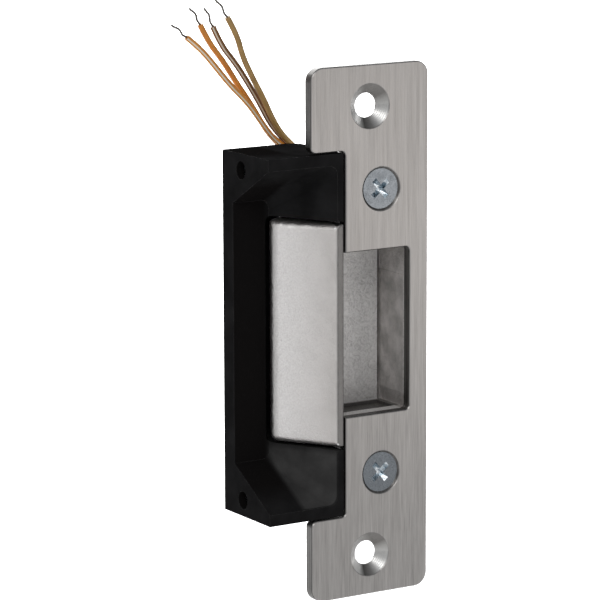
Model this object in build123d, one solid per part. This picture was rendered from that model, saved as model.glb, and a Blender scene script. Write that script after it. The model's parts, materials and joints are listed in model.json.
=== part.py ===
"""Electric door strike: faceplate, lip bracket, swinging keeper, solenoid lock and four leads.

Frame: X across the faceplate (the latch leaves towards -X), Y into the door jamb,
Z up along the faceplate. The origin is the centre of the two faceplate screw holes,
on the faceplate's back face. All sizes are in millimetres.
"""

from build123d import *
import math
import os

# Faceplate, standard 4-7/8 by 1-1/4 inch size.
PLATE_W = 31.75
PLATE_H = 123.8
PLATE_T = 2.4
PLATE_CORNER_R = 3.2
PLATE_EDGE = 0.25
FRONT = -PLATE_T
MOUNT_Z = 52.4
MOUNT_HOLE_R = 2.8
MOUNT_SINK_R = 5.3
NOTCH_X = -6.6
NOTCH_Z = 42.6
EAR_R = 1.5
WINDOW_X = 10.86
WINDOW_Z = 19.2
SINK_HALF_ANGLE = 50.0

# Flat-head screws that hold the faceplate to the housing.
BODY_SCREW_X = 3.1
BODY_SCREW_Z = 33.2
BODY_SCREW_R = 2.4
BODY_HEAD_R = 4.65
BODY_SINK_R = 5.25
BODY_SCREW_TIP = 7.1
HEAD_SET_BACK = 0.45
BODY_CROSS_TURN = -40.0

# Housing casting.
HOUSE_LEFT = -7.2
HOUSE_RIGHT = 15.2
HOUSE_Z = 41.6
HOUSE_STEP_Y = 15.4
HOUSE_REAR_Z = 34.6
HOUSE_REAR_STEP_Y = 17.4
COVER_Y = 24.6
COVER_T = 1.6
WALL = 1.7
CAVITY_Y = 10.6
CAVITY_BACK_T = 1.3
KEEPER_ZONE_Z = 26.7
KEEPER_ZONE_X = -6.5
ARM_SLOT_LOW = 20.5
ARM_SLOT_HIGH = 26.4
PIN_WEB_HIGH = 28.4
CHAMBER_TOP = 33.2
LEVER_POCKET_TOP = 34.4
CHAMBER_Y = CAVITY_Y + CAVITY_BACK_T

# Lip bracket bolted to the side of the housing.
LIP_LEFT = -27.1
LIP_Z = 42.2
LIP_BACK = 17.75
HOPPER_FLOOR_Y = 13.3
RAMP_FOOT_X = -17.5
RAMP_TOP_X = -8.8
HOPPER_MOUTH_Z = 39.5
HOPPER_FLOOR_Z = 30.4
LIP_CUT_X = -18.5
LIP_CUT_Z = 26.65
LIP_SCREW_Y = 9.6
LIP_SCREW_Z = 38.4
LIP_HEAD_R = 2.1
LIP_SCREW_R = 1.4
LIP_HEAD_X = -23.4
LIP_SCREW_TIP = -1.6

# Keeper: a hollow wedge with two arms that swing on a vertical pin.
PIVOT = (-1.0, 15.2)
KEEPER_Z = 26.0
KEEPER_FRONT = FRONT + 0.15
KEEPER_FACE_X = -6.9
KEEPER_LAND_X = -8.8
HEEL = (-18.6, 12.2)
HEEL_R = 1.6
HEEL_LOW_R = 2.0
HEEL_HIGH_R = 0.9
KEEPER_WALL = 2.4
FACE_END_Y = 9.0
ARM_LOW = 20.7
HUB_R = 4.0
PIN_R = 2.0
PIN_FIT = 0.05
TAIL_FRONT_Y = 13.2
TAIL_BACK_Y = 17.2
TAIL_TIP_X = 6.6
TAIL_HEEL_X = 4.2

# Pressed guard that closes the keeper's space from behind.
GUARD_LEFT = -19.7
GUARD_BACK = 26.2
GUARD_Z = 27.9
GUARD_T = 0.75
FLANGE_LEFT = -23.0
RIVET_X = -21.4
RIVET_Z = 20.0
RIVET_R = 0.8
RIVET_HEAD_R = 1.5
RIVET_TIP_Y = 15.2

# Details of the latch cavity's walls.
SLIT_X = (10.4, 10.96)
SILL_Z = 16.7
SILL_Y = 10.25
LEDGE_Y = 3.3
LEDGE_DROP = 0.7
STEP_Z = 12.0
STEP_T = 0.15
UNDERCUT_Z = -15.8
UNDERCUT = 1.0

# Solenoid, its axis upright behind the latch cavity.
SOL = (7.9, 17.9)
YOKE_X = (2.7, 13.1)
YOKE_Y = (12.6, 24.5)
YOKE_T = 1.2
YOKE_LOW = -12.8
YOKE_HIGH = 14.2
YOKE_TAB_LOW = -19.4
BOBBIN_FLANGE_R = 5.05
BOBBIN_TUBE_R = 3.3
BOBBIN_BORE_R = 2.6
FLANGE_T = 0.9
INNER_WINDING_R = 4.1
OUTER_WINDING_R = 4.8
TAPE_R = 4.95
CORE_TOP = -2.3
PLUNGER_R = 2.5
PLUNGER_LOW = -0.6
COLLAR_LOW = 18.9
COLLAR_R = 3.1
GROOVE_LOW = 20.25
GROOVE_HIGH = 22.75
NECK_R = 1.1
HEAD_R = 2.0
HEAD_TOP = 23.7
SOL_SCREW_X = (4.7, 11.1)
SOL_SCREW_Z = -17.0

# Lock lever, which drops in front of the keeper's tail when the solenoid is powered.
LEVER_PIVOT = (22.2, 24.0)
LEVER_PIN_R = 1.0
LEVER_EYE_R = 2.1
LEVER_SWING = 20.0
LEVER_X = (4.4, 7.2)
FORK_X = (5.6, 10.1)
FORK_GAP = 2.6
FORK_MID_Z = 20.8
FORK_T = 1.1
FORK_SLOT_Y = 19.9
LUG_X = (1.7, 3.5)

# Leads.
GROMMET = (-4.5, 21.3)
GROMMET_R = 2.1
GROMMET_FLANGE_R = 2.6
GROMMET_TOP = 35.4
LEAD_D = 1.4
TIP_D = 0.8

# Route of each lead, from the grommet up to where its insulation ends, then its bare tip.
LEADS = {
    "lead_1": [
        (-5.25, 20.55, 35.4), (-5.4, 20.58, 38.0), (-8.6, 20.9, 40.9), (-12.1, 21.2, 43.9), (-14.9, 21.2, 47.6),
        (-18.2, 21.2, 51.9), (-22.6, 21.2, 56.0), (-26.6, 21.2, 60.6), (-30.6, 21.2, 65.1), (-34.2, 21.2, 67.9),
    ],
    "lead_2": [
        (-5.25, 22.05, 35.4), (-5.4, 22.15, 37.9), (-8.3, 22.8, 40.8), (-11.3, 23.2, 43.8), (-13.6, 23.1, 47.1),
        (-16.6, 22.9, 51.6), (-20.2, 22.8, 56.4), (-23.8, 22.8, 61.8), (-27.5, 22.9, 66.2), (-29.7, 22.9, 70.4),
    ],
    "lead_3": [
        (-3.75, 22.05, 35.4), (-3.9, 22.1, 38.2), (-6.3, 22.0, 41.1), (-9.6, 22.0, 44.0), (-12.0, 22.3, 47.2),
        (-14.0, 22.5, 51.0), (-17.3, 22.6, 56.3), (-20.7, 22.6, 61.2), (-24.4, 22.6, 65.4), (-26.5, 22.6, 69.8),
    ],
    "lead_4": [
        (-3.75, 20.55, 35.4), (-3.85, 20.5, 38.2), (-6.3, 20.4, 41.0), (-9.6, 20.4, 44.0), (-12.1, 20.4, 47.8),
        (-14.3, 20.4, 52.4), (-17.5, 20.4, 57.9), (-20.1, 20.4, 63.0), (-21.4, 20.4, 67.8), (-24.0, 20.4, 72.0),
    ],
}
TIPS = {
    "lead_1": [(-34.2, 21.2, 67.9), (-36.0, 21.2, 69.3), (-38.2, 21.2, 71.3)],
    "lead_2": [(-29.7, 22.9, 70.4), (-30.8, 22.9, 72.5), (-32.3, 22.9, 74.4)],
    "lead_3": [(-26.5, 22.6, 69.8), (-27.55, 22.6, 72.0), (-28.5, 22.6, 74.2)],
    "lead_4": [(-24.0, 20.4, 72.0), (-25.3, 20.4, 74.1), (-26.9, 20.4, 76.2)],
}


def block(x0, x1, y0, y1, z0, z1):
    """A box between two opposite corners."""
    centre = ((x0 + x1) / 2, (y0 + y1) / 2, (z0 + z1) / 2)
    return Pos(*centre) * Box(abs(x1 - x0), abs(y1 - y0), abs(z1 - z0))


def rod_z(x, y, z0, z1, r):
    """A cylinder along Z."""
    return Pos(x, y, (z0 + z1) / 2) * Cylinder(r, z1 - z0)


def rod_x(y, z, x0, x1, r):
    """A cylinder along X."""
    return Pos((x0 + x1) / 2, y, z) * Rot(0, 90, 0) * Cylinder(r, x1 - x0)


def rod_y(x, z, y0, y1, r):
    """A cylinder along Y."""
    return Pos(x, (y0 + y1) / 2, z) * Rot(90, 0, 0) * Cylinder(r, y1 - y0)


def cone_y(x, z, y0, y1, r0, r1):
    """A cone along Y, with radius r0 at y0 and r1 at y1."""
    return Pos(x, (y0 + y1) / 2, z) * Rot(-90, 0, 0) * Cone(r0, r1, y1 - y0)


def prism_z(points, z0, z1):
    """An XY outline extruded along Z."""
    face = make_face(Polyline([(x, y, z0) for x, y in points], close=True))
    return extrude(face, z1 - z0, dir=(0, 0, 1))


def prism_x(points, x0, x1):
    """A YZ outline extruded along X."""
    face = make_face(Polyline([(x0, y, z) for y, z in points], close=True))
    return extrude(face, x1 - x0, dir=(1, 0, 0))


def sink(x, z, outer_r, inner_r):
    """A countersink in the faceplate's front."""
    depth = (outer_r - inner_r) / math.tan(math.radians(SINK_HALF_ANGLE))
    return cone_y(x, z, FRONT, FRONT + depth, outer_r, inner_r)


def corner_edges(shape, x, z, axis=Axis.Y, reach=0.1):
    """The edges along an axis that pass through a point in the XZ plane."""
    return [e for e in shape.edges().filter_by(axis)
            if abs(e.center().X - x) < reach and abs(e.center().Z - z) < reach]


def faceplate():
    """Flat plate with a notch for the lip bracket and a window for the latch."""
    half_w, half_h = PLATE_W / 2, PLATE_H / 2
    plate = block(-half_w, half_w, FRONT, 0, -half_h, half_h)
    plate -= block(-half_w - 1, NOTCH_X, FRONT - 1, 1, -NOTCH_Z, NOTCH_Z)
    plate -= block(NOTCH_X - 1, WINDOW_X, FRONT - 1, 1, -WINDOW_Z, WINDOW_Z)
    outer = [e for sx in (-1, 1) for sz in (-1, 1) for e in corner_edges(plate, sx * half_w, sz * half_h)]
    plate = fillet(outer, PLATE_CORNER_R)
    ears = [e for s in (-1, 1) for e in corner_edges(plate, -half_w, s * NOTCH_Z)]
    plate = fillet(ears, EAR_R)
    inner = [e for s in (-1, 1) for e in corner_edges(plate, NOTCH_X, s * NOTCH_Z)]
    inner += [e for s in (-1, 1) for e in corner_edges(plate, WINDOW_X, s * WINDOW_Z)]
    plate = fillet(inner, 1.1)
    front_face = plate.faces().sort_by(Axis.Y)[0]
    plate = chamfer(front_face.edges(), PLATE_EDGE)
    for sign in (-1, 1):
        plate -= rod_y(0, sign * MOUNT_Z, FRONT - 1, 1, MOUNT_HOLE_R)
        plate -= sink(0, sign * MOUNT_Z, MOUNT_SINK_R, MOUNT_HOLE_R)
        plate -= rod_y(BODY_SCREW_X, sign * BODY_SCREW_Z, FRONT - 1, 1, BODY_SCREW_R + 0.3)
        plate -= sink(BODY_SCREW_X, sign * BODY_SCREW_Z, BODY_SINK_R, BODY_SCREW_R + 0.3)
    return plate


def cross_recess(x, z, y0, depth, arm, width, turn):
    """A tapered cross recess that opens towards -Y."""
    cut = None
    for quarter in (0, 90):
        wide = Plane.XZ * Rectangle(2 * arm, width)
        narrow = Plane.XZ.offset(-depth) * Rectangle(arm * 0.9, width * 0.6)
        slot = Pos(x, y0, z) * Rot(0, turn + quarter, 0) * loft([wide.face(), narrow.face()])
        cut = slot if cut is None else cut + slot
    return cut


def body_screws():
    """The two flat-head cross-recess screws through the faceplate."""
    shapes = []
    top = FRONT + HEAD_SET_BACK
    cone = (BODY_HEAD_R - BODY_SCREW_R) / math.tan(math.radians(SINK_HALF_ANGLE))
    for sign in (-1, 1):
        z = sign * BODY_SCREW_Z
        screw = cone_y(BODY_SCREW_X, z, top, top + cone, BODY_HEAD_R, BODY_SCREW_R)
        screw += rod_y(BODY_SCREW_X, z, top + cone, BODY_SCREW_TIP, BODY_SCREW_R)
        screw -= cross_recess(BODY_SCREW_X, z, top, 1.5, 2.7, 1.3, BODY_CROSS_TURN)
        shapes.append(screw)
    return Compound(children=shapes)


def housing():
    """Zinc casting with the latch cavity in front and the lock chamber behind it."""
    outline = [
        (0, -HOUSE_Z), (HOUSE_STEP_Y, -HOUSE_Z), (HOUSE_REAR_STEP_Y, -HOUSE_REAR_Z), (COVER_Y, -HOUSE_REAR_Z),
        (COVER_Y, HOUSE_REAR_Z), (HOUSE_REAR_STEP_Y, HOUSE_REAR_Z), (HOUSE_STEP_Y, HOUSE_Z), (0, HOUSE_Z),
    ]
    body = prism_x(outline, HOUSE_LEFT, HOUSE_RIGHT)
    upright = body.edges().filter_by(Axis.Z).group_by(Axis.Y)[-1]
    body = fillet(upright, 1.2)
    body -= block(HOUSE_LEFT - 1, KEEPER_ZONE_X, -1, COVER_Y + 1, -KEEPER_ZONE_Z, KEEPER_ZONE_Z)
    # Latch cavity, open to the keeper.
    body -= block(KEEPER_ZONE_X - 1, WINDOW_X + 0.1, -1, CAVITY_Y, -WINDOW_Z - 0.1, WINDOW_Z + 0.1)
    body = cavity_details(body)
    # Chamber behind the cavity.
    inner_right = HOUSE_RIGHT - WALL
    inner_left = KEEPER_ZONE_X + 1.5
    body -= block(inner_left, inner_right, CHAMBER_Y, COVER_Y + 1, -CHAMBER_TOP, CHAMBER_TOP)
    for sign in (-1, 1):
        # Slot for each keeper arm.
        body -= block(HOUSE_LEFT - 1, inner_right, 5.5, COVER_Y + 1, sign * ARM_SLOT_LOW, sign * ARM_SLOT_HIGH)
        # Web that holds the end of the keeper pin.
        body += block(inner_left - 0.5, 4.0, CHAMBER_Y - 1, 20.0, sign * ARM_SLOT_HIGH, sign * PIN_WEB_HIGH)
    # Pocket for the lock lever.
    body -= block(3.9, 10.6, 8.6, HOUSE_STEP_Y + 0.6, ARM_SLOT_LOW, LEVER_POCKET_TOP)
    body += block(*LUG_X, 19.0, COVER_Y, 21.6, PIN_WEB_HIGH)
    body -= rod_z(*PIVOT, -PIN_WEB_HIGH - 1.3, PIN_WEB_HIGH, PIN_R)
    body -= rod_x(*LEVER_PIVOT, LUG_X[0] - 1, HOUSE_RIGHT + 1, LEVER_PIN_R)
    for x in SOL_SCREW_X:
        body += rod_y(x, SOL_SCREW_Z, CHAMBER_Y - 0.5, YOKE_Y[1] - YOKE_T, 1.9)
        body -= rod_y(x, SOL_SCREW_Z, 17.0, COVER_Y, 1.0)
    for x, z in cover_screw_places():
        body += rod_y(x, z, CHAMBER_Y - 0.5, COVER_Y, 2.2)
        body -= rod_y(x, z, 17.0, COVER_Y + 1, 1.1)
    for sign in (-1, 1):
        body -= rod_y(BODY_SCREW_X, sign * BODY_SCREW_Z, -1, BODY_SCREW_TIP, BODY_SCREW_R)
        body -= rod_x(LIP_SCREW_Y, sign * LIP_SCREW_Z, HOUSE_LEFT - 1, LIP_SCREW_TIP, LIP_SCREW_R)
        # Core-outs in the solid ends.
        body -= block(1.5, inner_right, 2.5, 13.0, sign * 39.2, sign * (HOUSE_Z + 1))
    body -= rod_z(*GROMMET, CHAMBER_TOP - 1, HOUSE_REAR_Z + 1, GROMMET_R)
    return body


def cavity_details(body):
    """Slit, sill, ledge, step and undercut in the walls of the latch cavity."""
    high = WINDOW_Z + 0.1
    wall = WINDOW_X + 0.1
    left = KEEPER_ZONE_X
    body += block(left, SLIT_X[0], SILL_Y, CAVITY_Y + 0.1, SILL_Z, high)
    body -= block(*SLIT_X, CAVITY_Y - 0.1, CHAMBER_Y + 0.1, -high, high)
    body -= block(left, SLIT_X[0], LEDGE_Y, CAVITY_Y, -high - LEDGE_DROP, -high)
    body -= block(wall - 0.1, wall + STEP_T, -0.1, CAVITY_Y, STEP_Z, high)
    undercut = Polyline(
        [(wall - 0.1, 0, UNDERCUT_Z), (wall, 0, UNDERCUT_Z), (wall + UNDERCUT, 0, -high),
         (wall - 0.1, 0, -high)], close=True)
    return body - extrude(make_face(undercut), CAVITY_Y, dir=(0, 1, 0))


def cover_screw_places():
    """X and Z of the four rear cover screws."""
    return [(5.4, -30.9), (11.6, -24.0), (11.6, 30.9), (1.2, 30.9)]


def rear_cover():
    """Steel plate that closes the back of the housing."""
    cover = block(HOUSE_LEFT, HOUSE_RIGHT, COVER_Y, COVER_Y + COVER_T, -HOUSE_REAR_Z, HOUSE_REAR_Z)
    cover -= block(
        HOUSE_LEFT - 1, KEEPER_ZONE_X, COVER_Y - 1, COVER_Y + COVER_T + 1, -KEEPER_ZONE_Z, KEEPER_ZONE_Z)
    cover = fillet(cover.edges().filter_by(Axis.Y).group_by(Axis.Z)[0], 1.2)
    cover = fillet(cover.edges().filter_by(Axis.Y).group_by(Axis.Z)[-1], 1.2)
    cover = chamfer(cover.faces().sort_by(Axis.Y)[-1].edges(), 0.3)
    back = COVER_Y + COVER_T
    for x, z in cover_screw_places():
        cover -= rod_y(x, z, COVER_Y - 1, back + 1, 1.35)
        cover -= cone_y(x, z, back - 1.2, back, 1.35, 2.55)
    return cover


def cover_screws():
    """Four small flat-head screws in the rear cover."""
    shapes = []
    back = COVER_Y + COVER_T
    for x, z in cover_screw_places():
        screw = cone_y(x, z, back - 1.15, back - 0.1, 1.1, 2.3)
        screw += rod_y(x, z, 17.6, back - 1.15, 1.1)
        screw -= Pos(x, back - 0.1, z) * Rot(180, 0, 0) * cross_recess(0, 0, 0, 0.8, 1.3, 0.6, 20)
        shapes.append(screw)
    return Compound(children=shapes)


def lip_bracket():
    """Black cast bracket with the sloped pocket that the latch crosses."""
    lip = block(LIP_LEFT, HOUSE_LEFT, FRONT, LIP_BACK, -LIP_Z, LIP_Z)
    lip = fillet(lip.edges().filter_by(Axis.Z).group_by(Axis.Y)[-1].sort_by(Axis.X)[-1:], 3.0)
    # Pocket: sloped end walls, flat floor, and a ramp up to the faceplate.
    slope = (HOPPER_MOUTH_Z - HOPPER_FLOOR_Z) / (HOPPER_FLOOR_Y - FRONT)
    mouth = HOPPER_MOUTH_Z + slope
    trough = prism_x(
        [(FRONT - 1, -mouth), (HOPPER_FLOOR_Y, -HOPPER_FLOOR_Z), (HOPPER_FLOOR_Y, HOPPER_FLOOR_Z),
         (FRONT - 1, mouth)],
        LIP_LEFT - 5, HOUSE_LEFT + 5)
    run = (RAMP_TOP_X - RAMP_FOOT_X) / (HOPPER_FLOOR_Y - FRONT)
    ahead = RAMP_TOP_X + run
    side = prism_z(
        [(LIP_LEFT - 5, FRONT - 1), (ahead, FRONT - 1), (RAMP_FOOT_X, HOPPER_FLOOR_Y),
         (RAMP_FOOT_X - 0.01, HOPPER_FLOOR_Y + 1), (LIP_LEFT - 5, HOPPER_FLOOR_Y + 1)],
        -LIP_Z, LIP_Z)
    hollow = trough & side
    creases = [e for e in hollow.edges()
               if LIP_LEFT - 4 < e.center().X < HOUSE_LEFT and abs(e.center().Z) > HOPPER_FLOOR_Z - 1
               and FRONT < e.center().Y < HOPPER_FLOOR_Y - 1]
    hollow = fillet(creases, 2.6)
    lip -= hollow
    # Opening that the keeper swings in.
    cut = block(LIP_CUT_X, HOUSE_LEFT + 1, FRONT - 1, LIP_BACK + 1, -LIP_CUT_Z, LIP_CUT_Z)
    cut = fillet(cut.edges().filter_by(Axis.Y).group_by(Axis.X)[0], 1.6)
    lip -= cut
    for sign in (-1, 1):
        z = sign * LIP_SCREW_Z
        lip -= rod_x(LIP_SCREW_Y, z, LIP_LEFT - 1, LIP_HEAD_X, LIP_HEAD_R)
        lip -= rod_x(LIP_SCREW_Y, z, LIP_LEFT, HOUSE_LEFT + 1, LIP_SCREW_R + 0.1)
        lip -= rod_y(RIVET_X, sign * RIVET_Z, RIVET_TIP_Y, LIP_BACK + 1, RIVET_R)
        # Core-out behind the ramp.
        lip -= block(-12.4, -9.4, 8.5, LIP_BACK + 1, sign * 29.0, sign * 35.0)
        lip -= block(-24.6, -16.0, LIP_BACK - 4.0, LIP_BACK + 1, sign * 33.2, sign * 39.6)
    return lip


def keeper_guard():
    """Pressed box behind the keeper, with a flange riveted to the bracket's back."""
    guard = block(GUARD_LEFT, HOUSE_LEFT, LIP_BACK, GUARD_BACK, -GUARD_Z, GUARD_Z)
    guard = fillet(guard.edges().filter_by(Axis.Z).group_by(Axis.Y)[-1].sort_by(Axis.X)[:1], 1.2)
    inner_z = GUARD_Z - GUARD_T
    guard -= block(GUARD_LEFT + GUARD_T, HOUSE_LEFT + 1, LIP_BACK - 1, GUARD_BACK - GUARD_T, -inner_z, inner_z)
    guard += block(FLANGE_LEFT, GUARD_LEFT + 0.1, LIP_BACK, LIP_BACK + GUARD_T, -GUARD_Z, GUARD_Z)
    for sign in (-1, 1):
        guard -= rod_y(RIVET_X, sign * RIVET_Z, LIP_BACK - 1, LIP_BACK + 2, RIVET_R)
    return guard


def guard_rivets():
    """Two rivets that hold the guard."""
    rivets = []
    for sign in (-1, 1):
        z = sign * RIVET_Z
        rivet = rod_y(RIVET_X, z, RIVET_TIP_Y, LIP_BACK + GUARD_T, RIVET_R)
        head = rod_y(RIVET_X, z, LIP_BACK + GUARD_T, LIP_BACK + GUARD_T + 0.7, RIVET_HEAD_R)
        head = fillet(head.edges().group_by(Axis.Y)[-1], 0.45)
        rivets.append(rivet + head)
    return Compound(rivets)


def bracket_screws():
    """Two socket-head screws that hold the lip bracket to the housing."""
    shapes = []
    for sign in (-1, 1):
        z = sign * LIP_SCREW_Z
        head = rod_x(LIP_SCREW_Y, z, LIP_HEAD_X - 1.9, LIP_HEAD_X, LIP_HEAD_R - 0.1)
        head = chamfer(head.edges().group_by(Axis.X)[0], 0.25)
        screw = head + rod_x(LIP_SCREW_Y, z, LIP_HEAD_X, LIP_SCREW_TIP, LIP_SCREW_R)
        hexagon = Plane.YZ * RegularPolygon(1.15, 6)
        screw -= Pos(LIP_HEAD_X - 1.9, LIP_SCREW_Y, z) * extrude(hexagon, 1.3)
        shapes.append(screw)
    return Compound(children=shapes)


def keeper_section():
    """Corners of the hollow wedge: the land, the sloped face, and the holding face."""
    land = (KEEPER_LAND_X, KEEPER_FRONT)
    length = math.dist(land, HEEL)
    along = ((HEEL[0] - land[0]) / length, (HEEL[1] - land[1]) / length)
    inward = (along[1], -along[0])
    heel_in = (HEEL[0] + KEEPER_WALL * inward[0], HEEL[1] + KEEPER_WALL * inward[1])
    inner_x = KEEPER_FACE_X - KEEPER_WALL
    back = (inner_x - heel_in[0]) / -along[0]
    crotch = (inner_x, heel_in[1] - back * along[1])
    return land, heel_in, crotch


def keeper():
    """Cast keeper: sloped face, holding face, ribs, two arms and the locking tail."""
    land, heel_in, crotch = keeper_section()
    nose = (KEEPER_FACE_X, KEEPER_FRONT)
    shell = [nose, land, HEEL, heel_in, crotch, (crotch[0], FACE_END_Y), (KEEPER_FACE_X, FACE_END_Y)]
    body = prism_z(shell, -KEEPER_Z, KEEPER_Z)
    for z in (-10.0, 0.0, 10.0):
        body += prism_z([crotch, heel_in, (crotch[0], FACE_END_Y)], z - 1.2, z + 1.2)
    px, py = PIVOT
    arm = [nose, land, HEEL, heel_in, (px - 1.4, py + 3.75), (px, py - HUB_R), (KEEPER_FACE_X, 6.5)]
    for sign in (-1, 1):
        body += prism_z(arm, sign * ARM_LOW, sign * KEEPER_Z)
        body += rod_z(px, py, min(sign * ARM_LOW, sign * KEEPER_Z), max(sign * ARM_LOW, sign * KEEPER_Z), HUB_R)
    tail = [(px, TAIL_FRONT_Y), (TAIL_TIP_X, TAIL_FRONT_Y), (TAIL_HEEL_X, TAIL_BACK_Y), (px, TAIL_BACK_Y)]
    body += prism_z(tail, ARM_LOW, KEEPER_Z)
    body -= rod_z(px, py, -KEEPER_Z - 1, KEEPER_Z + 1, PIN_R + PIN_FIT)
    middle = ((HEEL[0] + heel_in[0]) / 2, (HEEL[1] + heel_in[1]) / 2)
    for z, radius in ((-KEEPER_Z, HEEL_LOW_R), (KEEPER_Z, HEEL_HIGH_R)):
        corner = [e for e in body.edges()
                  if abs(e.center().Z - z) < 0.01 and math.dist((e.center().X, e.center().Y), middle) < 0.2]
        body = fillet(corner, radius)
    heel_edges = [e for e in body.edges().filter_by(Axis.Z)
                  if math.dist((e.center().X, e.center().Y), HEEL) < 0.2]
    body = fillet(heel_edges, HEEL_R)
    land_edges = [e for e in body.edges().filter_by(Axis.Z)
                  if math.dist((e.center().X, e.center().Y), land) < 0.2]
    body = fillet(land_edges, 0.5)
    nose_edges = [e for e in body.edges().filter_by(Axis.Z)
                  if math.dist((e.center().X, e.center().Y), nose) < 0.2]
    body = fillet(nose_edges, 0.4)
    return body


def keeper_pin():
    """Vertical pin, held in the housing's two webs."""
    pin = rod_z(*PIVOT, -PIN_WEB_HIGH - 1.2, PIN_WEB_HIGH, PIN_R)
    pin -= ring_z(*PIVOT, -PIN_WEB_HIGH - 0.7, -PIN_WEB_HIGH - 0.1, PIN_R + 1, PIN_R - 0.4)
    return chamfer(pin.edges().group_by(Axis.Z)[-1], 0.3)


def ring_z(x, y, z0, z1, outer_r, inner_r):
    """A flat ring about a Z axis."""
    return rod_z(x, y, z0, z1, outer_r) - rod_z(x, y, z0 - 1, z1 + 1, inner_r)


def pin_clip():
    """E-shaped retaining clip in the keeper pin's groove."""
    x, y = PIVOT
    low, high = -PIN_WEB_HIGH - 0.65, -PIN_WEB_HIGH - 0.15
    clip = ring_z(x, y, low, high, 3.2, PIN_R - 0.35)
    clip -= block(x - 1.3, x + 1.3, y, y + 5, low - 1, high + 1)
    for turn in (-125, 125):
        clip -= Pos(x, y, 0) * Rot(0, 0, turn) * block(-0.7, 0.7, 1.2, 2.5, low - 1, high + 1)
    return clip


def coil_spring(x, y, z0, z1, radius, wire_r, turns):
    """A closed round-wire helix about a Z axis."""
    path = Pos(x, y, z0) * Helix(pitch=(z1 - z0) / turns, height=z1 - z0, radius=radius)
    section = Plane(path @ 0, z_dir=path % 0) * Circle(wire_r)
    return sweep(section, path=path, is_frenet=True)


def keeper_spring():
    """Torsion spring round the keeper pin, between the lower arm and the cavity's back."""
    return coil_spring(*PIVOT, -ARM_LOW + 0.5, -ARM_LOW + 10.2, 2.75, 0.33, 11)


def solenoid_yoke():
    """U-shaped steel frame round the coil, with a screw tab."""
    x0, x1 = YOKE_X
    y0, y1 = YOKE_Y
    yoke = block(x0, x1, y1 - YOKE_T, y1, YOKE_TAB_LOW, YOKE_HIGH)
    yoke += block(x0, x1, y0, y1, YOKE_LOW, YOKE_LOW + YOKE_T)
    yoke += block(x0, x1, y0, y1, YOKE_HIGH - YOKE_T, YOKE_HIGH)
    yoke -= rod_z(*SOL, YOKE_HIGH - 2, YOKE_HIGH + 1, PLUNGER_R + 0.1)
    yoke -= rod_z(*SOL, YOKE_LOW - 1, YOKE_LOW + 2, 1.5)
    for x in SOL_SCREW_X:
        yoke -= rod_y(x, SOL_SCREW_Z, y1 - 2, y1 + 1, 1.2)
    return yoke


def solenoid_screws():
    """Two pan-head screws through the yoke's tab, their heads let into the cover's clearance."""
    shapes = []
    for x in SOL_SCREW_X:
        face = YOKE_Y[1] - YOKE_T
        screw = rod_y(x, SOL_SCREW_Z, 18.0, face, 1.0)
        screw += cone_y(x, SOL_SCREW_Z, face, YOKE_Y[1], 1.0, 1.15)
        shapes.append(screw)
    return Compound(children=shapes)


def bobbin():
    """Plastic bobbin with two flanges."""
    low, high = YOKE_LOW + YOKE_T, YOKE_HIGH - YOKE_T
    spool = rod_z(*SOL, low, high, BOBBIN_TUBE_R)
    spool += rod_z(*SOL, low, low + FLANGE_T, BOBBIN_FLANGE_R)
    spool += rod_z(*SOL, high - FLANGE_T, high, BOBBIN_FLANGE_R)
    return spool - rod_z(*SOL, low - 1, high + 1, BOBBIN_BORE_R)


def winding(outer_r, inner_r):
    """One layer of the coil, between the bobbin's flanges."""
    return ring_z(*SOL, YOKE_LOW + YOKE_T + FLANGE_T, YOKE_HIGH - YOKE_T - FLANGE_T, outer_r, inner_r)


def fixed_core():
    """Steel core at the bottom of the bobbin, peened through the yoke."""
    core = rod_z(*SOL, YOKE_LOW + YOKE_T, CORE_TOP, PLUNGER_R)
    core += rod_z(*SOL, YOKE_LOW, YOKE_LOW + YOKE_T, 1.5)
    return core + rod_z(*SOL, YOKE_LOW - 0.6, YOKE_LOW, 2.0)


def plunger():
    """Steel plunger with the collar, groove and head that drive the lever."""
    part = rod_z(*SOL, PLUNGER_LOW, COLLAR_LOW, PLUNGER_R)
    part += rod_z(*SOL, COLLAR_LOW, GROOVE_LOW, COLLAR_R)
    part += rod_z(*SOL, GROOVE_LOW, GROOVE_HIGH, NECK_R)
    part += rod_z(*SOL, GROOVE_HIGH, HEAD_TOP, HEAD_R)
    return chamfer(part.edges().group_by(Axis.Z)[-1], 0.3)


def plunger_spring():
    """Compression spring between the yoke and the plunger's collar."""
    wire_r = 0.22
    return coil_spring(*SOL, YOKE_HIGH + wire_r + 0.03, COLLAR_LOW - wire_r - 0.03, 2.85, wire_r, 4)


def lock_lever():
    """Lever with a tooth for the keeper's tail and a fork for the plunger, at rest."""
    y, z = LEVER_PIVOT
    tooth = prism_x(
        [(9.8, 23.5), (12.9, 23.5), (12.9, 28.0), (18.4, 28.0), (20.4, 25.2), (24.2, 24.6), (22.2, 30.0),
         (10.6, 30.0), (9.8, 29.2)],
        *LEVER_X)
    half = FORK_T / 2
    web = prism_x(
        [(15.9, FORK_MID_Z - half), (21.6, FORK_MID_Z - half), (23.9, 23.0), (20.8, 24.4),
         (20.5, FORK_MID_Z + half), (15.9, FORK_MID_Z + half)],
        *FORK_X)
    web -= block(SOL[0] - FORK_GAP / 2, SOL[0] + FORK_GAP / 2, 15, FORK_SLOT_Y, 19, 22.2)
    web = turn_about_lever(web, LEVER_SWING / 2)
    lever = tooth + web + rod_x(y, z, LEVER_X[0], FORK_X[1], LEVER_EYE_R)
    lever -= rod_x(y, z, LEVER_X[0] - 1, FORK_X[1] + 1, LEVER_PIN_R + PIN_FIT)
    return turn_about_lever(lever, -LEVER_SWING)


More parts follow.
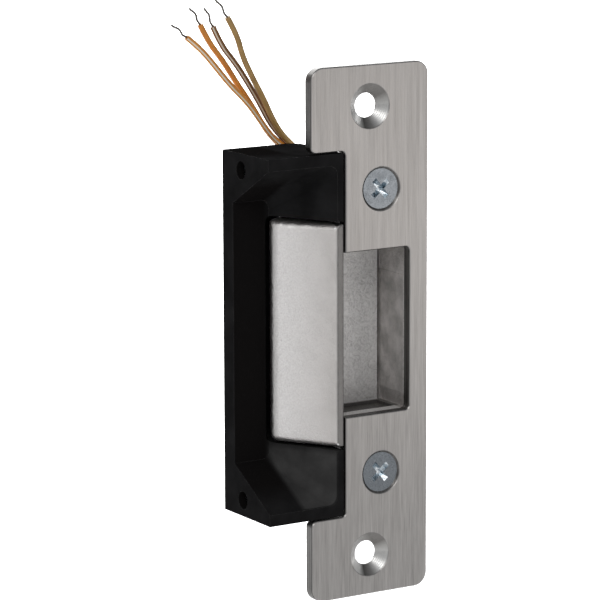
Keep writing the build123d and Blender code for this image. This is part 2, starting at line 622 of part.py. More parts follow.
def turn_about_lever(shape, degrees):
    """Turns a shape about the lever's pivot, by the right-hand rule about +X."""
    y, z = LEVER_PIVOT
    return Pos(0, y, z) * Rot(degrees, 0, 0) * Pos(0, -y, -z) * shape


def lever_pin():
    """Cross pin of the lock lever."""
    return rod_x(*LEVER_PIVOT, LUG_X[0], HOUSE_RIGHT, LEVER_PIN_R)


def wire_grommet():
    """Rubber grommet in the top of the housing."""
    grommet = rod_z(*GROMMET, CHAMBER_TOP, HOUSE_REAR_Z, GROMMET_R)
    grommet += rod_z(*GROMMET, HOUSE_REAR_Z, GROMMET_TOP, GROMMET_FLANGE_R)
    return grommet


def tube(points, diameter):
    """A round tube along straight runs joined by the largest arcs that they allow."""
    spots = [Vector(*p) for p in points]
    radii = []
    for before, here, after in zip(spots, spots[1:], spots[2:]):
        half_turn = math.radians((here - before).get_angle(after - here) / 2)
        shorter = min((here - before).length, (after - here).length)
        radii.append(0.45 * shorter / math.tan(half_turn))
    path = FilletPolyline(*spots, radius=radii)
    section = Plane(path @ 0, z_dir=path % 0) * Circle(diameter / 2)
    return sweep(section, path=path)


def save(name, shape):
    """Writes one node to its STEP file."""
    export_step(shape, os.path.join("parts", name + ".step"))


def main():
    os.makedirs("parts", exist_ok=True)
    save("faceplate", faceplate())
    save("body_screws", body_screws())
    save("housing", housing())
    save("rear_cover", rear_cover())
    save("cover_screws", cover_screws())
    save("lip_bracket", lip_bracket())
    save("bracket_screws", bracket_screws())
    save("keeper_guard", keeper_guard())
    save("guard_rivets", guard_rivets())
    save("keeper", keeper())
    save("keeper_pin", keeper_pin())
    save("pin_clip", pin_clip())
    save("keeper_spring", keeper_spring())
    save("solenoid_yoke", solenoid_yoke())
    save("solenoid_screws", solenoid_screws())
    save("bobbin", bobbin())
    save("inner_winding", winding(INNER_WINDING_R, BOBBIN_TUBE_R))
    save("outer_winding", winding(OUTER_WINDING_R, INNER_WINDING_R))
    save("coil_tape", winding(TAPE_R, OUTER_WINDING_R))
    save("fixed_core", fixed_core())
    save("plunger", plunger())
    save("plunger_spring", plunger_spring())
    save("lock_lever", lock_lever())
    save("lever_pin", lever_pin())
    save("wire_grommet", wire_grommet())
    for name, route in LEADS.items():
        save(name, tube(route, LEAD_D))
        save(name + "_tip", tube(TIPS[name], TIP_D))


main()
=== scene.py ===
"""Looks of the electric door strike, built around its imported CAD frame.

Everything is in metres in the CAD frame: X across the faceplate, Y into the door jamb,
Z up. The camera and the cords come first, then the materials, then the pieces.
"""

import json
import math

import bmesh
import bpy
from mathutils import Matrix, Vector


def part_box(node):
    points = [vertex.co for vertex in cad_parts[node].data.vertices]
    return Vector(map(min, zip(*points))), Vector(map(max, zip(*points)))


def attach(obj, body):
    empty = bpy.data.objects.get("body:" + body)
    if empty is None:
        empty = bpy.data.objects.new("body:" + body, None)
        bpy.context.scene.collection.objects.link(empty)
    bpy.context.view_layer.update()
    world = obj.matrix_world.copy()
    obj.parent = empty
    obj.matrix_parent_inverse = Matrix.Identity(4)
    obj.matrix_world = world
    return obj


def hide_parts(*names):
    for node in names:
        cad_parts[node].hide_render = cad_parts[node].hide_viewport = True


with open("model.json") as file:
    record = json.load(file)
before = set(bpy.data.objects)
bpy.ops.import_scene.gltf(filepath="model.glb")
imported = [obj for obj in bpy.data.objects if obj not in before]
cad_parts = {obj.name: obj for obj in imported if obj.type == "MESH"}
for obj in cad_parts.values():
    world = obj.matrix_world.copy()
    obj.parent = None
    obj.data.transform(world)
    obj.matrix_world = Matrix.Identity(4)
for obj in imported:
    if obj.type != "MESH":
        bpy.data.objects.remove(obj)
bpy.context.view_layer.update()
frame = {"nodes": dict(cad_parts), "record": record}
NODES = frame["nodes"]
MM = 0.001

# Camera.
CAMERA_AZIMUTH = -31.82
CAMERA_ELEVATION = 10.76
CAMERA_ROLL = -0.18
CAMERA_DISTANCE = 0.77568
CAMERA_SIDEWAYS = -0.01607
CAMERA_LIFT = 0.00755
CAMERA_LENS = 202.89

FLOOR_Z = -0.3

# Faceplate countersinks and screw heads, with painted reflections on the countersink walls and painted
# highlights on the cross-recess walls.
SINK_Z = frame["record"]["mounts"][0]["dims"]["spacing_y_mm"] / 2 * MM
SINK_R = 5.3 * MM
HEAD_X = 3.1 * MM
HEAD_Z = 33.2 * MM
RECESS_R = 3.0 * MM
RECESS_START = -1.93 * MM
RECESS_END = -1.85 * MM
# Painted reflections in the countersinks: bright and dark sectors by turn about each hole's axis.
SINK_PAINTED_REFLECTIONS = [
    (0.0, (0.62, 0.61, 0.59)), (0.1, (0.22, 0.21, 0.20)), (0.3, (0.3, 0.29, 0.28)),
    (0.5, (0.28, 0.27, 0.26)), (0.6, (0.9, 0.89, 0.87)), (0.66, (0.75, 0.74, 0.72)),
    (0.71, (0.13, 0.125, 0.12)), (0.78, (0.3, 0.29, 0.28)), (0.86, (0.8, 0.79, 0.77)),
    (1.0, (0.62, 0.61, 0.59)),
]
RING_PITCH = 2 * math.pi / (0.35 * MM)

# Limits of the places where light and shade are painted into the colour: an axis, where each
# starts and where it is complete, in millimetres.
BEHIND_FRONT = ("Y", -2.33, -2.2)
BEFORE_BACK = ("Y", -0.05, -0.2)
KEEPER_PAINTED_LIGHT = ("X", -9.5, -16.5)
KEEPER_HEEL_PAINTED_SHADE = ("X", -17.0, -18.4)
KEEPER_LAND_PAINTED_SHADE = ("X", -8.9, -8.6)
CAVITY_SIDE_PAINTED_SHADE = (("X", 10.42, 10.6), ("X", 13.5, 13.0), ("Y", 0.2, 0.6))
CAVITY_RECESS_PAINTED_SHADE = (
    ("Z", -19.0, -19.35), ("Z", -20.6, -20.3), ("Y", 3.0, 3.6), ("Y", 11.0, 10.7), ("X", 12.0, 11.5))
POCKET_SLOPE_PAINTED_LIGHT = (("X", -18.6, -17.0), ("Z", -26.0, -28.0), ("Y", -2.3, -2.0))
POCKET_SIDE_PAINTED_SHADE = (("Y", 0.5, 6.0), ("X", -17.5, -19.0), ("X", -27.0, -26.8))

# Voxels and passes that round the keeper, and the bracket's edge width and angle.
KEEPER_VOXEL = 0.25 * MM
KEEPER_PASSES = 3
BRACKET_EDGE = 0.2 * MM
BRACKET_EDGE_ANGLE = math.radians(28)
WELD_REACH = 0.01 * MM

# Softboxes: name, place, target, size in metres, power in watts, colour.
WHITE = (1, 1, 1)
SOFTBOXES = [
    ("key", (-1.0, -1.1, 1.2), (0, 0, 0), 0.7, 7, WHITE),
    ("left", (-1.3, -0.2, 0.3), (0, 0, 0), 0.5, 1.0, WHITE),
    ("front_card", (0.207, -0.334, -0.015), (0, 0, 0.06), 0.15, 0.095, (1.0, 0.96, 0.93)),
    ("floor_wash", (1.3, 2.5, 0.75), (1.3, 2.5, FLOOR_Z), 3.4, 170, WHITE),
]
SURROUNDINGS = (0.95, 0.97, 1.0, 1)
SURROUNDINGS_STRENGTH = 0.36
FLOOR_SIZE = 30

# Leads: centre lines from the grommet to the end of the insulation, and their bare tips.
LEAD_D = 1.4 * MM
LEADS = {
    "lead_1": [
        (-5.25, 20.55, 35.4), (-5.4, 20.58, 38.0), (-8.6, 20.9, 40.9), (-12.1, 21.2, 43.9),
        (-14.9, 21.2, 47.6), (-18.2, 21.2, 51.9), (-22.6, 21.2, 56.0), (-26.6, 21.2, 60.6),
        (-30.6, 21.2, 65.1), (-34.2, 21.2, 67.9),
    ],
    "lead_2": [
        (-5.25, 22.05, 35.4), (-5.4, 22.15, 37.9), (-8.3, 22.8, 40.8), (-11.3, 23.2, 43.8),
        (-13.6, 23.1, 47.1), (-16.6, 22.9, 51.6), (-20.2, 22.8, 56.4), (-23.8, 22.8, 61.8),
        (-27.5, 22.9, 66.2), (-29.7, 22.9, 70.4),
    ],
    "lead_3": [
        (-3.75, 22.05, 35.4), (-3.9, 22.1, 38.2), (-6.3, 22.0, 41.1), (-9.6, 22.0, 44.0),
        (-12.0, 22.3, 47.2), (-14.0, 22.5, 51.0), (-17.3, 22.6, 56.3), (-20.7, 22.6, 61.2),
        (-24.4, 22.6, 65.4), (-26.5, 22.6, 69.8),
    ],
    "lead_4": [
        (-3.75, 20.55, 35.4), (-3.85, 20.5, 38.2), (-6.3, 20.4, 41.0), (-9.6, 20.4, 44.0),
        (-12.1, 20.4, 47.8), (-14.3, 20.4, 52.4), (-17.5, 20.4, 57.9), (-20.1, 20.4, 63.0),
        (-21.4, 20.4, 67.8), (-24.0, 20.4, 72.0),
    ],
}
TIPS = {
    "lead_1": [(-34.2, 21.2, 67.9), (-36.0, 21.2, 69.3), (-38.0, 21.2, 71.1)],
    "lead_2": [(-29.7, 22.9, 70.4), (-30.8, 22.9, 72.5), (-32.3, 22.9, 74.4)],
    "lead_3": [(-26.5, 22.6, 69.8), (-27.55, 22.6, 72.0), (-28.5, 22.6, 74.2)],
    "lead_4": [(-24.0, 20.4, 72.0), (-25.3, 20.4, 74.1), (-26.9, 20.4, 76.2)],
}
STRANDS = 3
STRAND_R = 0.15 * MM
STRAND_LAY = STRAND_R * 1.05
STRAND_SIDES = 8
STRAND_TURNS = 3.0
CRIMP = 0.22 * MM
CRIMPS = 1.3
TRACER_TURN = 0.14
TRACER_WIDTH = 0.08


# Node helpers

def material(name):
    """A new node material and its shader, tree and object coordinates."""
    made = bpy.data.materials.new(name)
    made.use_nodes = True
    tree = made.node_tree
    shader = tree.nodes["Principled BSDF"]
    place = tree.nodes.new("ShaderNodeTexCoord").outputs["Object"]
    return made, tree, shader, place


def scaled(tree, place, scale):
    """The coordinates multiplied by a scale in each direction."""
    node = tree.nodes.new("ShaderNodeVectorMath")
    node.operation = "MULTIPLY"
    node.inputs[1].default_value = scale
    tree.links.new(place, node.inputs[0])
    return node.outputs[0]


def noise(tree, place, scale, detail=3.0, roughness=0.55, distortion=0.0):
    """Noise at a scale in cycles per metre."""
    node = tree.nodes.new("ShaderNodeTexNoise")
    node.inputs["Scale"].default_value = scale
    node.inputs["Detail"].default_value = detail
    node.inputs["Roughness"].default_value = roughness
    node.inputs["Distortion"].default_value = distortion
    tree.links.new(place, node.inputs["Vector"])
    return node.outputs["Fac"]


def ramp(tree, value, stops):
    """A colour ramp through (position, colour) stops."""
    node = tree.nodes.new("ShaderNodeValToRGB")
    elements = node.color_ramp.elements
    while len(elements) < len(stops):
        elements.new(0.5)
    for element, (position, colour) in zip(elements, stops):
        element.position = position
        element.color = (*colour, 1)
    tree.links.new(value, node.inputs["Fac"])
    return node.outputs["Color"]


def spread(tree, value, low, high, start=0.3, end=0.7):
    """A value remapped from start..end to low..high."""
    node = tree.nodes.new("ShaderNodeMapRange")
    node.inputs["From Min"].default_value = start
    node.inputs["From Max"].default_value = end
    node.inputs["To Min"].default_value = low
    node.inputs["To Max"].default_value = high
    tree.links.new(value, node.inputs["Value"])
    return node.outputs["Result"]


def bump(tree, shader, height, depth, under=None):
    """Bump of a depth in metres on the shader, over an earlier bump if one is given."""
    node = tree.nodes.new("ShaderNodeBump")
    node.inputs["Strength"].default_value = 1.0
    node.inputs["Distance"].default_value = depth
    tree.links.new(height, node.inputs["Height"])
    if under:
        tree.links.new(under, node.inputs["Normal"])
    tree.links.new(node.outputs["Normal"], shader.inputs["Normal"])
    return node.outputs["Normal"]


def axis_mask(tree, place, axis, start, end):
    """0 before start and 1 after end along an axis of the model's frame, in metres."""
    parts = tree.nodes.new("ShaderNodeSeparateXYZ")
    tree.links.new(place, parts.inputs[0])
    return spread(tree, parts.outputs[axis], 0, 1, start, end)


def maths(tree, operation, *values):
    """A math node over sockets or plain numbers."""
    node = tree.nodes.new("ShaderNodeMath")
    node.operation = operation
    for socket, value in zip(node.inputs, values):
        if isinstance(value, (int, float)):
            socket.default_value = value
        else:
            tree.links.new(value, socket)
    return node.outputs[0]


def product(tree, first, second):
    """Two values multiplied."""
    return maths(tree, "MULTIPLY", first, second)


def region(tree, place, *limits):
    """1 where every limit is passed: each an axis, where it starts and where it is complete, in mm."""
    inside = None
    for axis, start, end in limits:
        passed = axis_mask(tree, place, axis, start * MM, end * MM)
        inside = passed if inside is None else product(tree, inside, passed)
    return inside


def mixed(tree, factor, first, second):
    """Two colours mixed by a factor."""
    node = tree.nodes.new("ShaderNodeMix")
    node.data_type = "RGBA"
    tree.links.new(factor, node.inputs["Factor"])
    for socket, colour in ((node.inputs["A"], first), (node.inputs["B"], second)):
        if isinstance(colour, tuple):
            socket.default_value = (*colour, 1)
        else:
            tree.links.new(colour, socket)
    return node.outputs["Result"]


def sharpness(tree, start, end):
    """A value that rises from 0 to 1 on the mesh's outward edges."""
    return spread(tree, tree.nodes.new("ShaderNodeNewGeometry").outputs["Pointiness"], 0, 1, start, end)


def around(tree, place, centre_x, centre_z):
    """Distance in metres and turn from 0 to 1 about an axis along Y, above and below the middle alike."""
    parts = tree.nodes.new("ShaderNodeSeparateXYZ")
    tree.links.new(place, parts.inputs[0])
    right = maths(tree, "SUBTRACT", parts.outputs["X"], centre_x)
    side = maths(tree, "SIGN", parts.outputs["Z"])
    up = maths(tree, "SUBTRACT", parts.outputs["Z"], maths(tree, "MULTIPLY", side, centre_z))
    reach = maths(tree, "SQRT", maths(tree, "ADD", product(tree, right, right), product(tree, up, up)))
    turn = maths(tree, "DIVIDE", maths(tree, "ARCTAN2", up, right), 2 * math.pi)
    return reach, maths(tree, "FRACT", maths(tree, "ADD", turn, 1.0))


# Materials

def brushed_plate():
    """Stainless sheet with a fine grain along its length, painted shade on its cut edges and painted
    reflections in its countersinks.
    """
    made, tree, shader, place = material("brushed_stainless")
    fine = noise(tree, scaled(tree, place, (1, 1, 0.02)), 7000, 4, 0.65)
    wide = noise(tree, scaled(tree, place, (1, 1, 0.03)), 1900, 3, 0.5)
    cloud = noise(tree, place, 45, 2)
    grain = ramp(tree, fine, [(0.3, (0.25, 0.238, 0.228)), (0.7, (0.55, 0.53, 0.512))])
    streak = ramp(tree, wide, [(0.3, (0.32, 0.305, 0.293)), (0.7, (0.50, 0.482, 0.465))])
    colour = mixed(tree, spread(tree, cloud, 0.3, 0.6), grain, streak)
    behind = region(tree, place, BEHIND_FRONT)
    # Painted shade on the plate's cut edges, between its front and back faces.
    edge = product(tree, behind, region(tree, place, BEFORE_BACK))
    cut_edge_painted_shade = ramp(tree, wide, [(0.3, (0.09, 0.087, 0.083)), (0.7, (0.17, 0.165, 0.16))])
    colour = mixed(tree, edge, colour, cut_edge_painted_shade)
    reach, turn = around(tree, place, 0.0, SINK_Z)
    # Painted reflections in the countersinks, coloured by turn about each hole.
    turned = ramp(tree, turn, SINK_PAINTED_REFLECTIONS)
    in_sink = product(tree, behind, spread(tree, reach, 1, 0, SINK_R, SINK_R + 0.1 * MM))
    colour = mixed(tree, in_sink, colour, turned)
    tree.links.new(colour, shader.inputs["Base Color"])
    tree.links.new(spread(tree, fine, 0.30, 0.46), shader.inputs["Roughness"])
    shader.inputs["Metallic"].default_value = 1.0
    first = bump(tree, shader, fine, 0.009 * MM)
    second = bump(tree, shader, wide, 0.011 * MM, under=first)
    rings = maths(tree, "SINE", maths(tree, "MULTIPLY", reach, RING_PITCH))
    bump(tree, shader, product(tree, rings, in_sink), 0.012 * MM, under=second)
    return made


def screw_zinc():
    """Zinc-plated screw heads with a speckled face and painted highlights on the walls of the cross
    recess.
    """
    made, tree, shader, place = material("zinc_screw")
    cloud = noise(tree, place, 600, 3)
    speckle = noise(tree, place, 5200, 3, 0.7)
    colour = ramp(tree, speckle, [(0.3, (0.11, 0.12, 0.13)), (0.7, (0.30, 0.325, 0.35))])
    recess = axis_mask(tree, place, "Y", RECESS_START, RECESS_END)
    reach, _ = around(tree, place, HEAD_X, HEAD_Z)
    recess = product(tree, recess, spread(tree, reach, 1, 0, RECESS_R, RECESS_R + 0.1 * MM))
    # Painted highlights on the walls of the cross recess.
    recess_painted_highlight = ramp(tree, noise(tree, place, 900, 2), [(0.4, (0.35, 0.42, 0.47)), (0.6, (0.95, 0.98, 1.0))])
    tree.links.new(mixed(tree, recess, colour, recess_painted_highlight), shader.inputs["Base Color"])
    tree.links.new(spread(tree, cloud, 0.2, 0.34), shader.inputs["Roughness"])
    shader.inputs["Metallic"].default_value = 1.0
    bump(tree, shader, speckle, 0.012 * MM)
    return made


def keeper_cast():
    """Cast keeper: lumps under a fine grit, painted light brightening it towards its heel, painted shade
    on the heel and land, and painted highlights on its edges.
    """
    made, tree, shader, place = material("keeper_casting")
    lump = noise(tree, place, 480, 3, 0.5)
    grit = noise(tree, place, 2400, 3, 0.6)
    cloud = noise(tree, place, 130, 3)
    colour = ramp(tree, cloud, [(0.3, (0.62, 0.59, 0.565)), (0.7, (0.75, 0.715, 0.69))])
    # Painted light brightening the keeper towards its heel, painted shade on the heel and land, and
    # painted highlights on its edges.
    heelward_painted_light = ramp(tree, grit, [(0.3, (0.84, 0.81, 0.79)), (0.7, (1.0, 0.975, 0.955))])
    colour = mixed(tree, region(tree, place, KEEPER_PAINTED_LIGHT), colour, heelward_painted_light)
    colour = mixed(tree, region(tree, place, KEEPER_HEEL_PAINTED_SHADE), colour, (0.30, 0.29, 0.28))
    colour = mixed(tree, region(tree, place, KEEPER_LAND_PAINTED_SHADE), colour, (0.24, 0.23, 0.222))
    colour = mixed(tree, sharpness(tree, 0.54, 0.60), colour, (0.97, 0.96, 0.95))
    tree.links.new(colour, shader.inputs["Base Color"])
    tree.links.new(spread(tree, cloud, 0.3, 0.42), shader.inputs["Roughness"])
    shader.inputs["Metallic"].default_value = 1.0
    first = bump(tree, shader, lump, 0.2 * MM)
    bump(tree, shader, grit, 0.11 * MM, under=first)
    return made


def housing_cast():
    """As-cast zinc, with painted shade on the latch cavity's side wall and in its floor's recess."""
    made, tree, shader, place = material("zinc_casting")
    lump = noise(tree, place, 420, 4, 0.6, 3.0)
    grit = noise(tree, place, 1700, 3, 0.65)
    cloud = noise(tree, place, 200, 3, 0.6)
    swirl = ramp(tree, lump, [
        (0.36, (0.55, 0.53, 0.515)), (0.5, (0.86, 0.84, 0.82)), (0.64, (1.0, 0.98, 0.96))])
    grainy = ramp(tree, grit, [(0.3, (0.66, 0.64, 0.625)), (0.7, (1.0, 0.98, 0.96))])
    light = mixed(tree, spread(tree, cloud, 0.35, 0.75), swirl, grainy)
    dark = ramp(tree, cloud, [(0.3, (0.36, 0.345, 0.33)), (0.7, (0.70, 0.665, 0.645))])
    # Painted shade on the latch cavity's side wall, and deeper painted shade in its floor's recess.
    side = region(tree, place, *CAVITY_SIDE_PAINTED_SHADE)
    colour = mixed(tree, side, light, dark)
    recess = region(tree, place, *CAVITY_RECESS_PAINTED_SHADE)
    colour = mixed(tree, recess, colour, (0.13, 0.123, 0.117))
    tree.links.new(colour, shader.inputs["Base Color"])
    tree.links.new(spread(tree, cloud, 0.36, 0.55), shader.inputs["Roughness"])
    shader.inputs["Metallic"].default_value = 0.45
    first = bump(tree, shader, lump, 0.26 * MM)
    bump(tree, shader, grit, 0.05 * MM, under=first)
    return made


def black_coat():
    """Dull black coating, with painted light greying the lower slope and painted shade deepening the
    black on the pocket's side.
    """
    made, tree, shader, place = material("black_coating")
    cloud = noise(tree, place, 140, 3)
    grit = noise(tree, place, 2200, 2)
    colour = ramp(tree, cloud, [(0.3, (0.010, 0.0098, 0.0100)), (0.7, (0.019, 0.0186, 0.0190))])
    # Painted light greying the lower slope, and painted shade deepening the black on the pocket's side.
    slope_painted_light = ramp(tree, cloud, [(0.3, (0.036, 0.035, 0.035)), (0.7, (0.062, 0.061, 0.060))])
    slope = region(tree, place, *POCKET_SLOPE_PAINTED_LIGHT)
    colour = mixed(tree, slope, colour, slope_painted_light)
    side = region(tree, place, *POCKET_SIDE_PAINTED_SHADE)
    colour = mixed(tree, side, colour, (0.008, 0.0073, 0.0072))
    tree.links.new(colour, shader.inputs["Base Color"])
    tree.links.new(spread(tree, cloud, 0.36, 0.5), shader.inputs["Roughness"])
    shader.inputs["Specular IOR Level"].default_value = 0.0
    first = bump(tree, shader, noise(tree, place, 420, 3), 0.05 * MM)
    bump(tree, shader, grit, 0.012 * MM, under=first)
    return made


def edge_wear_and_highlight_coat():
    """The same coating, lighter along edges: partly edge wear, partly painted highlight."""
    made, tree, shader, place = material("edge_wear_and_highlight_coating")
    cloud = noise(tree, place, 260, 3)
    colour = ramp(tree, cloud, [(0.3, (0.04, 0.04, 0.041)), (0.7, (0.13, 0.128, 0.126))])
    tree.links.new(colour, shader.inputs["Base Color"])
    shader.inputs["Roughness"].default_value = 0.5
    shader.inputs["Specular IOR Level"].default_value = 0.1
    return made


def smooth_metal(name, dark, light):
    """Turned or plated metal with faint marks."""
    made, tree, shader, place = material(name)
    cloud = noise(tree, place, 600, 3)
    colour = ramp(tree, cloud, [(0.3, dark), (0.7, light)])
    tree.links.new(colour, shader.inputs["Base Color"])
    tree.links.new(spread(tree, cloud, 0.22, 0.34), shader.inputs["Roughness"])
    shader.inputs["Metallic"].default_value = 1.0
    bump(tree, shader, noise(tree, place, 3000, 2), 0.004 * MM)
    return made


def plastic(name, dark, light, rough=(0.35, 0.45)):
    """Moulded plastic, tape or rubber."""
    made, tree, shader, place = material(name)
    cloud = noise(tree, place, 500, 2)
    colour = ramp(tree, cloud, [(0.3, dark), (0.7, light)])
    tree.links.new(colour, shader.inputs["Base Color"])
    tree.links.new(spread(tree, cloud, *rough), shader.inputs["Roughness"])
    bump(tree, shader, noise(tree, place, 4000, 2), 0.004 * MM)
    return made


def insulation(name, dark, light, tracer=None):
    """Vinyl wire insulation, with a tracer line along it if one is given."""
    made, tree, shader, place = material(name)
    cloud = noise(tree, place, 260, 2)
    colour = ramp(tree, cloud, [(0.35, dark), (0.65, light)])
    if tracer:
        along = tree.nodes.new("ShaderNodeSeparateXYZ")
        tree.links.new(tree.nodes["Texture Coordinate"].outputs["UV"], along.inputs[0])
        turn = maths(tree, "FRACT", maths(tree, "ADD", along.outputs["Y"], TRACER_TURN))
        line = maths(tree, "LESS_THAN", turn, TRACER_WIDTH)
        colour = mixed(tree, line, colour, tracer)
    tree.links.new(colour, shader.inputs["Base Color"])
    tree.links.new(spread(tree, cloud, 0.28, 0.38), shader.inputs["Roughness"])
    bump(tree, shader, noise(tree, place, 1500, 2), 0.01 * MM)
    return made


MATERIALS = {
    "stainless_plate": brushed_plate(),
    "zinc_screw": screw_zinc(),
    "zinc_casting": housing_cast(),
    "plated_steel": smooth_metal("plated_steel", (0.5, 0.5, 0.48), (0.62, 0.62, 0.6)),
    "black_coating": black_coat(),
    "keeper_casting": keeper_cast(),
    "turned_steel": smooth_metal("turned_steel", (0.5, 0.5, 0.5), (0.6, 0.6, 0.6)),
    "spring_steel": smooth_metal("spring_steel", (0.3, 0.29, 0.28), (0.4, 0.39, 0.38)),
    "bobbin_plastic": plastic("bobbin_plastic", (0.72, 0.71, 0.66), (0.8, 0.79, 0.74)),
    "enamelled_copper": smooth_metal("enamelled_copper", (0.5, 0.2, 0.08), (0.65, 0.28, 0.12)),
    "coil_tape": plastic("coil_tape", (0.75, 0.6, 0.1), (0.85, 0.7, 0.15), (0.2, 0.3)),
    "lever_steel": smooth_metal("lever_steel", (0.33, 0.33, 0.33), (0.43, 0.43, 0.43)),
    "grommet_rubber": plastic("grommet_rubber", (0.015, 0.015, 0.015), (0.03, 0.03, 0.03), (0.5, 0.6)),
    "orange_insulation": insulation("orange_insulation", (0.66, 0.24, 0.03), (0.8, 0.33, 0.05)),
    "brown_insulation": insulation(
        "brown_insulation", (0.16, 0.07, 0.02), (0.24, 0.11, 0.035), (0.75, 0.68, 0.55)),
    "tan_insulation": insulation("tan_insulation", (0.38, 0.23, 0.075), (0.5, 0.31, 0.11)),
    "tinned_copper": smooth_metal("tinned_copper", (0.12, 0.11, 0.10), (0.30, 0.28, 0.26)),
}
TRACED_ORANGE = insulation(
    "traced_orange", (0.66, 0.24, 0.03), (0.8, 0.33, 0.05), (0.85, 0.78, 0.62))
LEAD_MATERIALS = {
    "lead_1": TRACED_ORANGE,
    "lead_2": MATERIALS["orange_insulation"],
    "lead_3": MATERIALS["brown_insulation"],
    "lead_4": MATERIALS["tan_insulation"],
}
LEAD_SLOTS = {
    "lead_1": "orange_insulation",
    "lead_2": "orange_insulation",
    "lead_3": "brown_insulation",
    "lead_4": "tan_insulation",
}


def finish_nodes():
    """Gives every CAD node the material of its slot."""
    for part in frame["record"]["subparts"]:
        mesh = NODES[part["node"]].data
        mesh.materials.clear()
        mesh.materials.append(MATERIALS[part["material_slot"]])


def round_casting(node, voxel, passes):
    """Rounds a casting's edges: an even mesh over the CAD solid, smoothed a little."""
    body = NODES[node]
    remesh = body.modifiers.new("even_mesh", "REMESH")
    remesh.mode = "VOXEL"
    remesh.voxel_size = voxel
    remesh.use_smooth_shade = True
    soften = body.modifiers.new("soft_edges", "SMOOTH")
    soften.factor = 0.5
    soften.iterations = passes


def bevel_casting(node, width, edge_material):
    """Narrow rounded edges on a casting, in a material of their own."""
    body = NODES[node]
    body.data.materials.append(edge_material)
    weld = body.modifiers.new("joined_points", "WELD")
    weld.merge_threshold = WELD_REACH
    bevel = body.modifiers.new("edge_wear_and_highlight_bevel", "BEVEL")
    bevel.width = width
    bevel.segments = 2
    bevel.limit_method = "ANGLE"
    bevel.angle_limit = BRACKET_EDGE_ANGLE
    bevel.harden_normals = True
    bevel.material = 1


# Camera and studio

def make_camera():
    """The camera, placed from its angles about the middle of the faceplate's front."""
    azimuth, elevation, roll = (math.radians(a) for a in (CAMERA_AZIMUTH, CAMERA_ELEVATION, CAMERA_ROLL))
    back = Vector((
        math.sin(azimuth) * math.cos(elevation),
        -math.cos(azimuth) * math.cos(elevation),
        math.sin(elevation)))
    right = Vector((math.cos(azimuth), math.sin(azimuth), 0))
    up = back.cross(right)
    front = Vector((0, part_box("faceplate")[0][1], 0))
    place = front + back * CAMERA_DISTANCE
    turned_right = right * math.cos(roll) + up * math.sin(roll)
    turned_up = up * math.cos(roll) - right * math.sin(roll)
    place += turned_right * CAMERA_SIDEWAYS + turned_up * CAMERA_LIFT
    data = bpy.data.cameras.new("camera")
    data.lens = CAMERA_LENS
    data.clip_start = 0.01
    data.clip_end = 50
    camera = bpy.data.objects.new("camera", data)
    bpy.context.collection.objects.link(camera)
    turn = Matrix((turned_right, turned_up, back)).transposed()
    camera.matrix_world = Matrix.Translation(place) @ turn.to_4x4()
    bpy.context.scene.camera = camera


def area_light(name, place, target, size, power, colour):
    """A square softbox aimed at a point."""
    data = bpy.data.lights.new(name, "AREA")
    data.size = size
    data.energy = power
    data.color = colour
    light = bpy.data.objects.new(name, data)
    bpy.context.collection.objects.link(light)
    light.location = place
    aim = Vector(target) - Vector(place)
    light.rotation_euler = aim.to_track_quat("-Z", "Y").to_euler()


def make_studio():
    """Pale floor, even surroundings and softboxes."""
    world = bpy.data.worlds.new("studio")
    bpy.context.scene.world = world
    world.use_nodes = True
    background = world.node_tree.nodes["Background"]
    background.inputs["Color"].default_value = SURROUNDINGS
    background.inputs["Strength"].default_value = SURROUNDINGS_STRENGTH
    bpy.context.scene.view_settings.view_transform = "Standard"
    for softbox in SOFTBOXES:
        area_light(*softbox)
    bpy.ops.mesh.primitive_plane_add(size=FLOOR_SIZE, location=(0, 0, FLOOR_Z))
    floor = bpy.context.active_object
    floor.name = "floor"
    made, tree, shader, place = material("floor")
    shade = ramp(tree, noise(tree, place, 6, 2), [(0.3, (0.9, 0.9, 0.9)), (0.7, (0.93, 0.93, 0.93))])
    tree.links.new(shade, shader.inputs["Base Color"])
    shader.inputs["Roughness"].default_value = 0.9
    floor.data.materials.append(made)


# Cords

def spline_object(name, points, bevel=0.0):
    """A NURBS curve object through control points given in millimetres."""
    curve = bpy.data.curves.new(name, "CURVE")
    curve.dimensions = "3D"
    curve.resolution_u = 10
    spline = curve.splines.new("NURBS")
    spline.points.add(len(points) - 1)
    for point, spot in zip(spline.points, points):
        point.co = (*(v * MM for v in spot), 1)
    spline.order_u = 3
    spline.use_endpoint_u = True
    curve.bevel_depth = bevel
    curve.bevel_resolution = 6
    curve.use_fill_caps = bevel > 0
    made = bpy.data.objects.new(name, curve)
    bpy.context.collection.objects.link(made)
    return made


def route_points(points):
    """The points along a control polygon's smooth spline."""
    probe = spline_object("probe", points)
    graph = bpy.context.evaluated_depsgraph_get()
    mesh = bpy.data.meshes.new_from_object(probe.evaluated_get(graph), depsgraph=graph)
    spots = [v.co.copy() for v in mesh.vertices]
    curve = probe.data
    bpy.data.objects.remove(probe)
    bpy.data.curves.remove(curve)
    bpy.data.meshes.remove(mesh)
    return spots


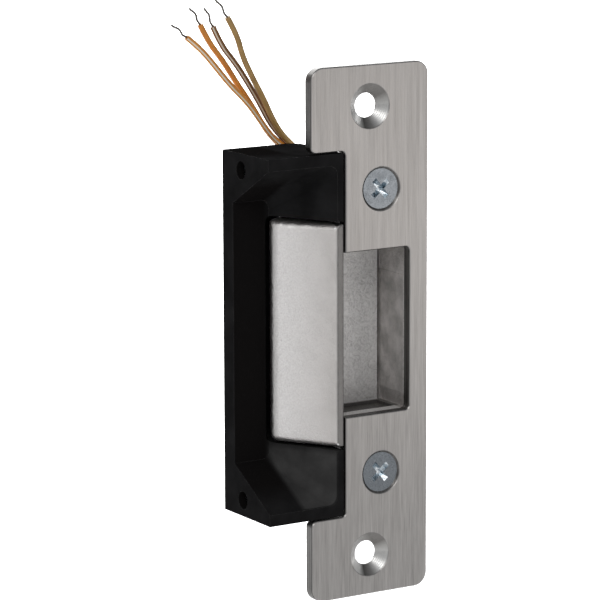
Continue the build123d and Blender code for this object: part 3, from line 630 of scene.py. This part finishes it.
def mesh_object(name, bm, finish):
    """A bmesh made into an object with one material."""
    mesh = bpy.data.meshes.new(name)
    bmesh.ops.recalc_face_normals(bm, faces=bm.faces)
    bm.to_mesh(mesh)
    bm.free()
    mesh.materials.append(finish)
    for face in mesh.polygons:
        face.use_smooth = True
    made = bpy.data.objects.new(name, mesh)
    bpy.context.collection.objects.link(made)
    return made


def sideways(spots, i):
    """Two directions across a line at one of its spots."""
    ahead = (spots[min(i + 1, len(spots) - 1)] - spots[max(i - 1, 0)]).normalized()
    across = ahead.cross(Vector((0, 1, 0))).normalized()
    return across, ahead.cross(across)


def add_tube(bm, spots, radius, sides):
    """A closed tube of rings along spots."""
    rings = []
    for i, spot in enumerate(spots):
        across, over = sideways(spots, i)
        rings.append([
            bm.verts.new(spot + radius * (across * math.cos(a) + over * math.sin(a)))
            for a in (2 * math.pi * k / sides for k in range(sides))])
    for one, two in zip(rings, rings[1:]):
        for k in range(sides):
            bm.faces.new((one[k], one[(k + 1) % sides], two[(k + 1) % sides], two[k]))
    bm.faces.new(rings[0])
    bm.faces.new(rings[-1])


def twisted_tip(name, points):
    """Bare strands twisted round a tip's crimped centre line."""
    spots = route_points(points)
    bm = bmesh.new()
    for strand in range(STRANDS):
        turned = []
        for i, spot in enumerate(spots):
            share = i / (len(spots) - 1)
            across, over = sideways(spots, i)
            angle = 2 * math.pi * (strand / STRANDS + STRAND_TURNS * share)
            lay = STRAND_LAY * (across * math.cos(angle) + over * math.sin(angle))
            wave = CRIMP * math.sin(2 * math.pi * CRIMPS * share) * min(1, 4 * share)
            turned.append(spot + lay + across * wave)
        add_tube(bm, turned, STRAND_R, STRAND_SIDES)
    return mesh_object(name, bm, MATERIALS["tinned_copper"])


def make_leads():
    """The four leads with their bare tips."""
    for name, points in LEADS.items():
        lead = spline_object(name + "_cord", points, LEAD_D / 2)
        lead.data.materials.append(LEAD_MATERIALS[name])
        tip = twisted_tip(name + "_strands", TIPS[name])
        for piece, node, slot in (
                (lead, name, LEAD_SLOTS[name]), (tip, name + "_tip", "tinned_copper")):
            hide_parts(node)
            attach(piece, "frame")


make_camera()
make_studio()
make_leads()
finish_nodes()
round_casting("keeper", KEEPER_VOXEL, KEEPER_PASSES)
# The bracket's bevelled edges take the lighter coat: edge wear and painted edge highlights.
bevel_casting("lip_bracket", BRACKET_EDGE, edge_wear_and_highlight_coat())
